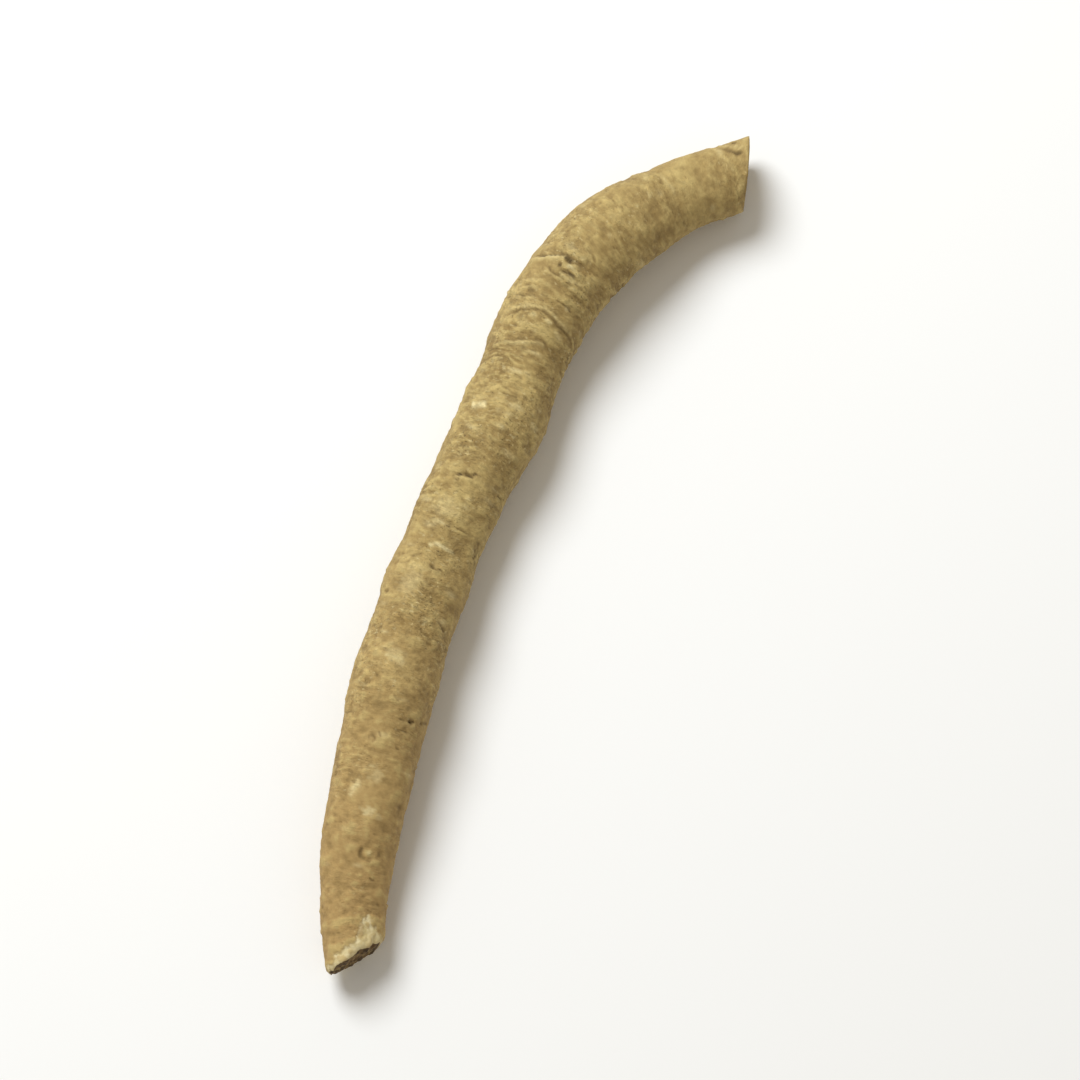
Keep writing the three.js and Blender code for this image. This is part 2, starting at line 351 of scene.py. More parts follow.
def feltRadii(stations, angles):
    reach = 14  # outside the thickest part
    least = 2  # a ray that misses the near side, past an end, gives less
    outside = placeOnRoot(stations, angles, np.full(stations.shape, float(reach)))
    middle = placeOnRoot(stations, angles, np.zeros(stations.shape))
    inwards = (middle - outside) / reach
    starts, ways = outside.reshape(-1, 3).tolist(), inwards.reshape(-1, 3).tolist()
    lengths = np.array([rayLength(start, way) for start, way in zip(starts, ways)])
    radii = (reach - lengths).reshape(stations.shape)
    return np.where(radii > least, radii, np.nan)


# The grid of the bark: rings along the root, each turned towards an end's slant where it is near that end.
ringStations = np.linspace(root["tipStation"], root["crownStation"], root["rings"])
ringAngles = np.arange(root["pointsRound"]) * 360 / root["pointsRound"]
tipSlant = math.tan(math.radians(root["tipSlant"]))
crownSlant = math.tan(math.radians(root["crownSlant"]))


def slantShift(stations, angles, radii):
    nearTip = 1 - smoothStep(0, root["slantReach"], np.abs(stations - root["tipStation"]))
    nearCrown = 1 - smoothStep(0, root["slantReach"], np.abs(stations - root["crownStation"]))
    return radii * np.cos(np.radians(angles)) * (tipSlant * nearTip + crownSlant * nearCrown)


def barkGrid():
    stations, angles = np.meshgrid(ringStations, ringAngles, indexing="ij")
    usual = 4.5  # a first radius, only to find how far the slant moves a point
    shifted = stations + slantShift(stations, angles, usual)
    radii = feltRadii(shifted, angles)
    rowMeans = np.nanmean(radii, axis=1, keepdims=True)
    passesAlong, passesRound = 24, 12  # enough to lose the CAD solid's facets
    radii = evenOut(np.where(np.isnan(radii), rowMeans, radii), passesAlong, passesRound)
    return stations + slantShift(stations, angles, radii), angles, radii


stations, angles, radii = barkGrid()
report("felt the CAD root's shape")


# A place on the root if it were pulled straight, in millimetres, so that patterns run along and round it.
def straightened(stations, angles, radii):
    across, up = radii * np.cos(np.radians(angles)), radii * np.sin(np.radians(angles))
    return np.stack([across, up, stations], axis=-1)


straight = straightened(stations, angles, radii)

# How busy the skin is: (station, amount). It is calm at the tip and busiest along the middle.
busyAlong = [(0, 0.55), (26, 0.66), (42, 1.0), (94, 1.05), (106, 0.85), (128, 0.7)]
busySwing = {"size": (6, 5), "amount": 0.5, "least": 0.35, "most": 1.6}
busy = busySwing["amount"] * fractalAt(straight, busySwing["size"], 2, 81)
busy = np.clip(np.interp(stations, *np.array(busyAlong).T) + busy, busySwing["least"], busySwing["most"])


def sweptRelief():
    relief = np.zeros(stations.shape)
    for seed, swell in enumerate(swells.values()):
        swing = fractalAt(straight, swell["size"], swell["octaves"], seed)
        bold = swing * np.abs(swing) ** 0.4  # mostly calm, with a few bold places
        relief += 1.5 * swell["height"] * bold
    # Wrinkles wander a little, and gather inside and outside the bend.
    wander = fractalAt(straight, (6, 5), 2, 11)
    wandering = straight + np.stack([0 * wander, 0 * wander, wanderReach * wander], axis=-1)
    uneven = np.clip(0.7 + 1.3 * fractalAt(straight, (6, 7), 2, 12), 0.1, 1.8)
    gathered = 1 + bend["gathering"] * np.exp(-(((stations - bend["station"]) / bend["reach"]) ** 2))
    for seed, wrinkle in enumerate(wrinkles.values()):
        ripple = fractalAt(wandering, wrinkle["size"], wrinkle["octaves"], 20 + seed)
        relief += wrinkle["height"] * uneven * gathered * busy * (1 - 2.2 * np.abs(ripple))
    return relief


relief = sweptRelief()
report("laid the swells and wrinkles")

# Marks are never quite round or straight, so they are drawn on a grid that is pushed about a little.
push = {"size": (1.1, 0.9), "along": 0.16, "round": 0.2}
pushedAlong = stations + push["along"] * fractalAt(straight, push["size"], 3, 31)
pushedRound = angles + np.degrees(push["round"] * fractalAt(straight, push["size"], 3, 32) / radii)


markMargin = 2.5  # past this distance from its path a mark has faded out
leastRadius = 4  # about the root's smallest, which turns that distance into degrees


# The points near a path, their distance from it, the side that they are on and how far along it they are.
def nearPath(through, margin):
    path = smoothLine(through, 6)
    middle = path[:, 1].mean()
    turn = turnFrom(pushedRound, middle)
    reach = math.degrees(margin / leastRadius)
    inside = (pushedAlong > path[:, 0].min() - margin) & (pushedAlong < path[:, 0].max() + margin)
    inside &= (turn > path[:, 1].min() - middle - reach) & (turn < path[:, 1].max() - middle + reach)
    size = radii[inside]
    s, a = pushedAlong[inside], np.radians(turn[inside]) * size
    bestGap, side, share = np.full(s.shape, np.inf), np.zeros(s.shape), np.zeros(s.shape)
    steps = len(path) - 1
    for i in range(steps):
        s0, s1 = path[i, 0], path[i + 1, 0]
        a0, a1 = (np.radians(path[j, 1] - middle) * size for j in (i, i + 1))
        ds, da = s1 - s0, a1 - a0
        t = np.clip(((s - s0) * ds + (a - a0) * da) / (ds * ds + da * da + 1e-9), 0, 1)
        gap = np.hypot(s - s0 - t * ds, a - a0 - t * da)
        closer = gap < bestGap
        bestGap[closer] = gap[closer]
        side[closer] = np.sign(s - s0 - t * ds)[closer]
        share[closer] = ((i + t) / steps)[closer]
    return inside, bestGap, side, share


paintedHollowShade = np.zeros(stations.shape)  # how dark with painted shade a crease, pit or hollow is, from 0 to 1
pale = np.zeros(stations.shape)  # how far the outer skin is rubbed off, from 0 to 1


# Fades a crease or ridge out over the first and last part of its length.
def taperAt(share):
    fade = 0.18
    return smoothStep(0, fade, share) * smoothStep(0, fade, 1 - share)


# painted shade in creases and pits grows with their depth, between these bounds
creaseShade = {"perDepth": 2.6, "least": 0.1, "most": 0.55}
pitShade = {"perDepth": 3.2, "least": 0.15, "most": 1}


def cutCrease(crease):
    inside, gap, side, share = nearPath(crease["through"], markMargin)
    width = crease["width"]
    patchy = np.clip(0.9 + 0.6 * fractalAt(straight[inside], (0.9, 0.9), 2, 41), 0.4, 1.2)
    cut = taperAt(share) * patchy * np.exp(-((gap / width) ** 2))
    lipSide = 1 if crease.get("lip") == "crown" else -1
    lipGap, lipWidth = 2.3 * width, 1.5 * width
    lip = taperAt(share) * np.exp(-(((gap - lipGap) / lipWidth) ** 2)) * (side == lipSide)
    relief[inside] += crease["fold"] * lip - crease["depth"] * cut
    # painted shade in the crease, as dark as its depth says unless a darkness is given
    usualShade = np.clip(crease["depth"] * creaseShade["perDepth"], creaseShade["least"], creaseShade["most"])
    shadeAndDirt = crease.get("shadeAndDirt", usualShade)
    paintedHollowShade[inside] = np.maximum(paintedHollowShade[inside], shadeAndDirt * cut)
    pale[inside] = np.maximum(pale[inside], np.clip(1.8 * crease["fold"] * lip * patchy, 0, 1))


def raiseRidge(ridge):
    inside, gap, _, share = nearPath(ridge["through"], markMargin)
    patchy = np.clip(0.9 + 0.8 * fractalAt(straight[inside], (0.7, 0.5), 3, 42), 0.3, 1.3)
    rise = taperAt(share) * patchy * np.exp(-((gap / ridge["width"]) ** 2))
    relief[inside] += ridge["height"] * rise
    pale[inside] = np.maximum(pale[inside], np.clip(ridge["pale"] * rise, 0, 1))


def blotch(at, along, around):
    turn = np.radians(turnFrom(pushedRound, at[1])) * radii
    return np.exp(-(((pushedAlong - at[0]) / along) ** 2) - (turn / around) ** 2)


for crease in creases:
    cutCrease(crease)
for ridge in ridges:
    raiseRidge(ridge)
for eye in eyes:
    turn = np.radians(turnFrom(pushedRound, eye["at"][1])) * radii
    gap = np.hypot(pushedAlong - eye["at"][0], turn) / eye["size"]
    pit = np.exp(-((gap / eyeShape["pitWidth"]) ** 2))
    ring = np.exp(-(((gap - 1) / eyeShape["ringWidth"]) ** 2))
    relief += eyeShape["ringHeight"] * ring - eyeShape["pitDepth"] * pit
    # painted shade in the eye's pit
    paintedHollowShade = np.maximum(paintedHollowShade, eyeShape["shadeAndDirt"] * pit)
for mark in marks:
    spot = blotch(mark["at"], mark["along"], mark["round"])
    relief += mark["height"] * spot
    if mark["height"] < 0:
        # a pit gets painted shade, as dark as it is deep
        shadeAndDirt = np.clip(-mark["height"] * pitShade["perDepth"], pitShade["least"], pitShade["most"])
        paintedHollowShade = np.maximum(paintedHollowShade, shadeAndDirt * spot**1.5)
for patch in rubbed:
    spot = blotch(patch["at"], patch["along"], patch["round"])
    ragged = spot + 0.5 * fractalAt(straight, (0.7, 0.4), 3, 51) * (spot > 0.02)
    pale = np.maximum(pale, patch["amount"] * smoothStep(0.1, 1.0, ragged))
report("cut the creases and marks")

# Small slits, pits and rubbed specks all over, so that no side is bare.
scatter = {"seed": 5, "slits": 140, "pits": 220, "specks": 110, "from": 4, "to": 126}
draw = np.random.default_rng(scatter["seed"])


def anywhere():
    station = draw.uniform(scatter["from"], scatter["to"])
    return station, draw.uniform(0, 360)


for _ in range(scatter["slits"]):
    station, angle = anywhere()
    half, tilt = draw.uniform(0.4, 1.5), draw.uniform(-0.25, 0.25)
    turn = math.degrees(half / 5)  # on a radius of about 5
    bow = draw.uniform(-0.2, 0.2)
    cutCrease({
        "through": [(station - tilt, angle - turn), (station + bow, angle), (station + tilt, angle + turn)],
        "depth": 0.03 + 0.17 * draw.uniform() ** 3,
        "width": draw.uniform(0.1, 0.16),
        "fold": draw.uniform(0, 0.04),
    })
for _ in range(scatter["pits"]):
    spot = blotch(anywhere(), draw.uniform(0.12, 0.3), draw.uniform(0.15, 0.45))
    depth = 0.03 + 0.12 * draw.uniform() ** 3
    relief -= depth * spot
    # painted shade in each small pit
    paintedHollowShade = np.maximum(paintedHollowShade, min(4 * depth, 0.35) * spot)
for _ in range(scatter["specks"]):
    spot = blotch(anywhere(), draw.uniform(0.15, 0.4), draw.uniform(0.3, 1.2))
    pale = np.maximum(pale, draw.uniform(0.2, 0.5) * spot)
report("scattered the small marks")


# How far each point lies along the root from the slanted rim of an end.
def fromRimOf(endStation):
    return stations - (endStation + slantShift(np.full(stations.shape, endStation), angles, radii))


# The wood that shows where the bark flaked off round the snapped tip. Its edge is ragged, and some thin skin
# is left on it.
def flakedTip():
    back = np.interp(angles % 360, *np.array(flakedBack).T)
    wander = 1.1 * fractalAt(straight, (1.6, 1.6), 3, 61) + 0.5 * fractalAt(straight, (0.5, 0.6), 2, 64)
    fromRim = fromRimOf(root["tipStation"])
    bare = smoothStep(-0.12, 0.14, back + wander * smoothStep(0.2, 1.2, back) - fromRim)
    left = smoothStep(0.12, 0.4, fractalAt(straight, (1.1, 1.3), 3, 65))
    return bare * (1 - 0.6 * left), fromRim


bare, fromRim = flakedTip()
fibres = fractalAt(straight, (0.9, 1.1), 3, 62)
relief = relief * (1 - 0.5 * bare) - bare * (root["flakeDepth"] - root["fibreHeight"] * fibres)
tipWear = root["tipWear"] * np.clip(1 + 0.9 * fractalAt(straight, (2.2, 3), 2, 66), 0.4, 1.6)
relief -= tipWear * np.exp(-np.maximum(fromRim, 0) / root["tipWearReach"])
crownFade = np.exp(-np.abs(fromRimOf(root["crownStation"])) / root["crownWearReach"])
relief -= root["crownWear"] * crownFade

# How a place stands against its surroundings drives its colour: painted shade in its hollows and a painted
# highlight on its crests.
surroundings = 30  # passes of evening out, which reach about 1 mm
fullCrest = 0.07  # millimetres above its surroundings
standing = relief - evenOut(relief, surroundings, surroundings)
reliefShadeAndHighlight = np.clip(standing / fullCrest, -1, 1) * 0.5 + 0.5

tipRagged = root["tipRagged"] * fractalAt(straight, (1.5, 30), 3, 63)
tipRagged = tipRagged * np.exp(-np.abs(fromRim) / root["raggedReach"])
tipRounded = root["tipRounding"] * np.exp(-np.maximum(fromRim, 0) / root["roundingReach"])
finalStations, finalRadii = stations + tipRagged + tipRounded, radii + relief

# The sawn crown shrank as it dried: its wood sank below the bark, and it split outwards from the pith.
# from and to are shares of the face's radius.
sawnFace = {
    "dish": 0.14,
    "pith": {"radius": 0.42, "depth": 0.3},
    "splits": [
        {"angle": 252, "from": 0.0, "to": 0.8, "width": 0.13, "depth": 0.55},
        {"angle": 78, "from": 0.05, "to": 0.5, "width": 0.1, "depth": 0.4},
        {"angle": 158, "from": 0.3, "to": 0.86, "width": 0.08, "depth": 0.3},
        {"angle": 12, "from": 0.45, "to": 0.88, "width": 0.08, "depth": 0.25},
        {"angle": 318, "from": 0.2, "to": 0.62, "width": 0.08, "depth": 0.25},
    ],
}


def sawnDepth(places, faceAngles, faceRadii, shares):
    dish = sawnFace["dish"] * smoothStep(0, 0.16, 1 - shares)
    pith = sawnFace["pith"]["depth"] * np.exp(-((faceRadii / sawnFace["pith"]["radius"]) ** 2))
    ripple = 0.06 * fractalAt(places, (0.9, 1), 3, 74)
    gape = np.zeros(faceRadii.shape)
    for split in sawnFace["splits"]:
        wavy = faceAngles - split["angle"] + 5 * np.sin(faceRadii * 1.9 + split["angle"])
        off = faceRadii * np.sin(np.radians(wavy))
        reach = smoothStep(split["from"] - 0.1, split["from"] + 0.1, shares)
        reach = reach * (1 - smoothStep(split["to"] - 0.2, split["to"], shares))
        reach = reach * (np.cos(np.radians(wavy)) > 0)  # on the split's own side of the pith
        gape = np.maximum(gape, split["depth"] * reach * np.exp(-((off / split["width"]) ** 2)))
    # the second value is painted shade, in the splits and where the pith sinks
    return dish + pith + ripple + gape, np.clip(2 * gape + pith, 0, 1)


# The snapped tip is torn: short splinters stand up between hollows, which get painted shade.
def tornDepth(places, shares):
    torn = np.abs(fractalAt(places, (1.6, 1), 4, 71)) + 0.35 * fractalAt(places, (0.45, 1), 2, 72)
    depth = -smoothStep(0, 0.12, 1 - shares) * root["snapDepth"] * (torn - 0.25)
    return depth, smoothStep(0.28, 0.0, torn)


# One end face, ring by ring from its rim to its middle, with how much painted shade each place gets.
def endFace(row, isTip):
    shares = (1 - (np.arange(1, root["endRings"] + 1) / (root["endRings"] + 1)) ** 0.9)[:, None]
    rimStations, rimRadii = finalStations[row][None], finalRadii[row][None]
    middleStation = root["tipStation"] if isTip else root["crownStation"]
    faceRadii = rimRadii * shares
    faceStations = middleStation + (rimStations - middleStation) * shares
    if isTip:
        faceStations = faceStations - root["tipRounding"] * (shares - shares**9)
    faceAngles = np.broadcast_to(ringAngles, faceRadii.shape)
    places = straightened(0 * faceStations, faceAngles, faceRadii)
    if isTip:
        depth, shadeAndDirt = tornDepth(places, shares)
        return (faceStations - depth, faceAngles, faceRadii), shadeAndDirt
    depth, shadeAndDirt = sawnDepth(places, faceAngles, faceRadii, shares + 0 * faceRadii)
    return (faceStations - depth, faceAngles, faceRadii), shadeAndDirt


tipFace, tipHollowShade = endFace(0, True)
crownFace, crownSplitShade = endFace(-1, False)


def buildRoot():
    bark = (finalStations, angles, finalRadii)
    grids = [np.vstack([tip[::-1], middle, crown]) for tip, middle, crown in zip(tipFace, bark, crownFace)]
    places = placeOnRoot(*grids)
    places[..., 2] = np.maximum(places[..., 2], 0)  # flat where it lies on the floor
    rows, columns = grids[0].shape
    middles = placeOnRoot(np.array([grids[0][0].mean(), grids[0][-1].mean()]), np.zeros(2), np.zeros(2))
    vertices = np.vstack([places.reshape(-1, 3), middles]) * mm

    i, k = np.meshgrid(np.arange(rows - 1), np.arange(columns), indexing="ij")
    here, over = i * columns + k, i * columns + (k + 1) % columns
    quads = np.stack([here, here + columns, over + columns, over], axis=-1).reshape(-1, 4)
    k = np.arange(columns)
    beside = (k + 1) % columns
    last = (rows - 1) * columns
    fans = [np.stack([np.full(columns, rows * columns), k, beside], axis=-1),
            np.stack([np.full(columns, rows * columns + 1), last + beside, last + k], axis=-1)]
    faces = quads.tolist() + fans[0].tolist() + fans[1].tolist()

    mesh = bpy.data.meshes.new("dried_root")
    mesh.from_pydata(vertices.tolist(), [], faces)
    mesh.polygons.foreach_set("use_smooth", np.ones(len(faces), bool))
    piece = bpy.data.objects.new("dried_root", mesh)
    bpy.context.scene.collection.objects.link(piece)
    return piece, grids, quads


driedRoot, grids, quads = buildRoot()
endRings = root["endRings"]


# Values for the shaders, one for each vertex: on the tip's face, on the bark and on the crown's face.
def addValues(name, onTip, onBark, onCrown):
    size = (endRings, root["pointsRound"])
    whole = np.vstack([np.broadcast_to(onTip, size)[::-1], onBark, np.broadcast_to(onCrown, size)])
    values = np.append(whole.ravel(), [whole[0].mean(), whole[-1].mean()])
    attribute = driedRoot.data.attributes.new(name, "FLOAT", "POINT")
    attribute.data.foreach_set("value", values.astype(np.float32))


def addPlaces():
    whole = straightened(*grids).reshape(-1, 3)
    middles = [(0, 0, grids[0][0].mean()), (0, 0, grids[0][-1].mean())]
    attribute = driedRoot.data.attributes.new("rootPlace", "FLOAT_VECTOR", "POINT")
    attribute.data.foreach_set("vector", np.vstack([whole, middles]).astype(np.float32).ravel())


# The map that the finishes are drawn on: two halves of the bark side by side, and the two end faces above.
def addMap():
    mesh = driedRoot.data
    columns, rows = root["pointsRound"], root["rings"]
    faceCount = len(mesh.polygons)
    starts = np.empty(faceCount, int)
    mesh.polygons.foreach_get("loop_start", starts)
    corners = np.empty(len(mesh.loops), int)
    mesh.loops.foreach_get("vertex_index", corners)
    faceOfCorner = np.repeat(np.arange(faceCount), np.diff(np.append(starts, len(corners))))
    quadCount = len(quads)
    ringOfFace = np.where(np.arange(faceCount) < quadCount, np.arange(faceCount) // columns, -1)
    columnOfFace = np.arange(faceCount) % columns
    ring, column = corners // columns, (corners % columns).astype(float)
    faceRing, faceColumn = ringOfFace[faceOfCorner], columnOfFace[faceOfCorner]
    column[(faceColumn == columns - 1) & (column == 0)] = columns  # the last column closes the circle
    along = (ring - endRings) / (rows - 1)
    second = faceRing - endRings >= (rows - 1) // 2
    half = ((rows - 1) // 2) / (rows - 1)
    edge, barkWidth, barkHeight = 0.005, 0.49, 0.8  # shares of the map
    u = edge + barkWidth * column / columns + 0.5 * second
    v = edge + barkHeight * np.where(second, (along - half) / (1 - half), along / half)
    onTip = (faceRing >= 0) & (faceRing < endRings)
    onTip |= (faceOfCorner >= quadCount) & (faceOfCorner < quadCount + columns)
    onCrown = (faceRing >= endRings + rows - 1) | (faceOfCorner >= quadCount + columns)
    whole = np.vstack([straightened(*grids).reshape(-1, 3), [(0, 0, 0), (0, 0, 0)]])[:, :2]
    widest, faceShare, faceHeight = 6.2, 0.09, 0.905  # no end face is wider, and where they go on the map
    flat = whole[corners] / widest * faceShare
    u = np.where(onTip, 0.25 + flat[:, 0], np.where(onCrown, 0.75 + flat[:, 0], u))
    v = np.where(onTip | onCrown, faceHeight + flat[:, 1], v)
    layer = mesh.uv_layers.new(name="OFBake")
    layer.data.foreach_set("uv", np.stack([u, v], axis=-1).astype(np.float32).ravel())
    slots = np.where(onTip, 1, np.where(onCrown, 2, 0))[starts]
    mesh.polygons.foreach_set("material_index", slots.astype(np.int32))


addValues("reliefShadeAndHighlight", 0.5, reliefShadeAndHighlight, 0.5)
addValues("paintedHollowShade", tipHollowShade, paintedHollowShade, crownSplitShade)
addValues("pale", 0, pale, 0)
addValues("bare", 0, bare, 0)
addValues("busy", 1, busy, 1)
addPlaces()
addMap()
report(f"built the root, with {len(driedRoot.data.polygons)} faces")


def linearColour(hexColour):
    channels = [int(hexColour[i : i + 2], 16) / 255 for i in (1, 3, 5)]
    return [c / 12.92 if c <= 0.04045 else ((c + 0.055) / 1.055) ** 2.4 for c in channels] + [1]


def newMaterial(name):
    material = bpy.data.materials.new(name)
    material.use_nodes = True
    material.node_tree.nodes.clear()
    return material


# Adds a node, with its settings, fills or links its inputs by name or number, and gives back one output.
def addNode(tree, kind, inputs, output=0, **settings):
    node = tree.nodes.new("ShaderNode" + kind)
    for name, value in settings.items():
        setattr(node, name, value)
    for name, value in inputs.items():
        if isinstance(value, bpy.types.NodeSocket):
            tree.links.new(value, node.inputs[name])
        else:
            node.inputs[name].default_value = value
    return node.outputs[output] if node.outputs else None


# Dry cork bark, air dried and handled: a dull, dusty skin, olive straw to brown, softly mottled, and crossed
# by fine lines where it shrank.
corkBark = {
    "tan": "#A58C56",
    "straw": "#BFA86C",
    "brown": "#866D3E",
    "ochre": "#AD8A57",  # warmer, towards the tip
    "rubbedSkin": "#D5C38F",
    # the dark of the painted shade in hollows, and of the small dark specks
    "shadeAndDirt": "#38290F",
    "bareWood": "#DFD0A4",
    # each pattern: one patch's size round and along the root in millimetres, octaves and their roughness
    "patterns": {
        "blotches": (4.2, 3.2, 4, 0.6),
        "mottle": (2.0, 1.4, 4, 0.6),
        "flakes": (0.9, 0.42, 3, 0.6),
        "patches": (8, 7, 3, 0.5),
        "granules": (0.7, 0.5, 4, 0.7),
        "hairs": (1.9, 0.36, 3, 0.6),
        "fineHairs": (1.0, 0.2, 2, 0.5),
        "specks": (0.34, 0.26, 1, 0.5),
        "woodGrain": (0.9, 1.1, 4, 0.65),
    },
    # each layer: what drives it, where it starts and is full, how much it covers, and its colour
    "layers": [
        ("patches", 0.48, 0.3, 0.5, "brown"),
        ("patches", 0.52, 0.7, 0.5, "straw"),
        ("blotches", 0.46, 0.3, 0.48, "brown"),
        ("blotches", 0.54, 0.72, 0.5, "straw"),
        ("mottle", 0.42, 0.28, 0.6, "brown"),
        ("mottle", 0.57, 0.72, 0.6, "straw"),
        ("along", 62, 8, 0.6, "ochre"),
        # painted shade in the hollows and a painted highlight on the crests
        ("reliefShadeAndHighlight", 0.48, 0.0, 0.6, "brown"),
        ("reliefShadeAndHighlight", 0.55, 1.0, 0.6, "straw"),
        ("flakes", 0.4, 0.28, 0.7, "brown"),
        ("flakes", 0.6, 0.74, 0.5, "rubbedSkin"),
        ("specks", 0.68, 0.8, 0.6, "shadeAndDirt"),
        ("pale", 0, 1, 1, "rubbedSkin"),
        # painted shade in the creases, pits and hollows
        ("paintedHollowShade", 0.03, 1, 0.95, "shadeAndDirt"),
    ],
    "shading": {"granules": 1.1, "hairs": 0.35, "fineHairs": 0.25},  # how far each one lightens and darkens
    "drift": {"size": 5.5, "reach": 2},  # patterns stray along the root, so that their lines aren't straight
    "bumps": {"granules": 1.1, "hairs": 0.4, "fineHairs": 0.25},
    "bumpHeight": 0.17,  # millimetres
    "roughness": 0.86,
    "ior": 1.45,
}


def barkFinish():
    material = newMaterial("air dried cork bark")
    tree = material.node_tree
    place = addNode(tree, "Attribute", {}, "Vector", attribute_name="rootPlace")
    drivers = {"along": addNode(tree, "SeparateXYZ", {0: place}, "Z")}
    for name in ("reliefShadeAndHighlight", "pale", "paintedHollowShade", "bare", "busy"):
        drivers[name] = addNode(tree, "Attribute", {}, "Fac", attribute_name=name)
    driftSettings = {"Vector": place, "Scale": 1 / corkBark["drift"]["size"], "Detail": 2}
    drift = addNode(tree, "TexNoise", driftSettings, "Color")
    reach = (0, 0, corkBark["drift"]["reach"])
    drifted = addNode(tree, "VectorMath", {0: drift, 1: reach, 2: place}, operation="MULTIPLY_ADD")
    for name, (around, along, octaves, roughness) in corkBark["patterns"].items():
        scale = (1 / around, 1 / around, 1 / along)
        scaled = addNode(tree, "VectorMath", {0: drifted, 1: scale}, operation="MULTIPLY")
        settings = {"Vector": scaled, "Scale": 1, "Detail": octaves, "Roughness": roughness}
        pattern = addNode(tree, "TexNoise", settings)
        swing = addNode(tree, "Math", {0: pattern, 1: 0.5}, operation="SUBTRACT")
        busier = {0: swing, 1: drivers["busy"], 2: 0.5}
        drivers[name] = addNode(tree, "Math", busier, operation="MULTIPLY_ADD")

    colour = linearColour(corkBark["tan"])
    for driver, start, full, amount, tint in corkBark["layers"]:
        share = addNode(tree, "MapRange", {0: drivers[driver], 1: start, 2: full, 3: 0, 4: amount})
        inputs = {0: share, 6: colour, 7: linearColour(corkBark[tint])}
        colour = addNode(tree, "Mix", inputs, 2, data_type="RGBA")

    # patterns swing about 0.5, so their sum leaves the skin's mean colour as it is
    shade = 1 - sum(corkBark["shading"].values()) / 2
    for name, amount in corkBark["shading"].items():
        shade = addNode(tree, "Math", {0: drivers[name], 1: amount, 2: shade}, operation="MULTIPLY_ADD")
    colour = addNode(tree, "VectorMath", {0: colour, "Scale": shade}, operation="SCALE")

    grain = addNode(tree, "MapRange", {0: drivers["woodGrain"], 1: 0.36, 2: 0.6})
    woodTints = {0: grain, 6: linearColour(corkBark["straw"]), 7: linearColour(corkBark["bareWood"])}
    wood = addNode(tree, "Mix", woodTints, 2, data_type="RGBA")
    colour = addNode(tree, "Mix", {0: drivers["bare"], 6: colour, 7: wood}, 2, data_type="RGBA")

    height = 0.0
    for name, amount in corkBark["bumps"].items():
        height = addNode(tree, "Math", {0: drivers[name], 1: amount, 2: height}, operation="MULTIPLY_ADD")
    bump = addNode(tree, "Bump", {"Height": height, "Strength": 1, "Distance": corkBark["bumpHeight"] * mm})
    dull, worn = corkBark["roughness"] + 0.06, corkBark["roughness"] - 0.08
    rough = addNode(tree, "MapRange", {0: drivers["mottle"], 1: 0.3, 2: 0.7, 3: dull, 4: worn})
    surface = addNode(tree, "BsdfPrincipled", {
        "Base Color": colour, "Roughness": rough, "IOR": corkBark["ior"], "Normal": bump,
    })
    addNode(tree, "OutputMaterial", {"Surface": surface})
    return material


# Root wood, snapped across long ago: torn fibres, painted dark brown all over as painted shade, with pale
# tips and painted shade in the hollows between them.
snappedWoodInShade = {
    # these browns are painted shade over the whole face
    "shadedFibre": "#7C6239",
    "paleTip": "#A48D5C",
    "shadedBrown": "#5C4526",
    "shadeAndDirt": "#3C2B14",
    "fibreSize": 0.4,
    "stainSize": 1.7,
    "rimFrom": 2.7,  # the skin round the face is darker, from here outwards
    "rimTo": 3.4,
    "bumpHeight": 0.12,
    "roughness": 0.88,
    "ior": 1.5,
}


def snappedFinishInShade():
    material = newMaterial("snapped root wood in painted shade")
    tree = material.node_tree
    place = addNode(tree, "Attribute", {}, "Vector", attribute_name="rootPlace")
    shadeAndDirt = addNode(tree, "Attribute", {}, "Fac", attribute_name="paintedHollowShade")
    across = addNode(tree, "VectorMath", {0: place, 1: (1, 1, 0)}, operation="MULTIPLY")
    fromHeart = addNode(tree, "VectorMath", {0: across}, "Value", operation="LENGTH")
    fibreScale, stainScale = 1 / snappedWoodInShade["fibreSize"], 1 / snappedWoodInShade["stainSize"]
    fibres = addNode(tree, "TexNoise", {"Vector": across, "Scale": fibreScale, "Detail": 4})
    stains = addNode(tree, "TexNoise", {"Vector": across, "Scale": stainScale, "Detail": 3})
    colour = linearColour(snappedWoodInShade["shadedFibre"])
    layers = [
        (stains, 0.5, 0.62, 0.8, "paleTip"),
        (stains, 0.52, 0.36, 0.9, "shadedBrown"),
        (fibres, 0.5, 0.3, 0.6, "shadedBrown"),
        (fromHeart, snappedWoodInShade["rimFrom"], snappedWoodInShade["rimTo"], 0.85, "shadedBrown"),
        (shadeAndDirt, 0.1, 0.8, 0.9, "shadeAndDirt"),
    ]
    for driver, start, full, amount, tint in layers:
        share = addNode(tree, "MapRange", {0: driver, 1: start, 2: full, 3: 0, 4: amount})
        inputs = {0: share, 6: colour, 7: linearColour(snappedWoodInShade[tint])}
        colour = addNode(tree, "Mix", inputs, 2, data_type="RGBA")
    bumpHeight = snappedWoodInShade["bumpHeight"] * mm
    bump = addNode(tree, "Bump", {"Height": fibres, "Strength": 1, "Distance": bumpHeight})
    surface = addNode(tree, "BsdfPrincipled", {
        "Base Color": colour,
        "Roughness": snappedWoodInShade["roughness"],
        "IOR": snappedWoodInShade["ior"],
        "Normal": bump,
    })
    addNode(tree, "OutputMaterial", {"Surface": surface})
    return material


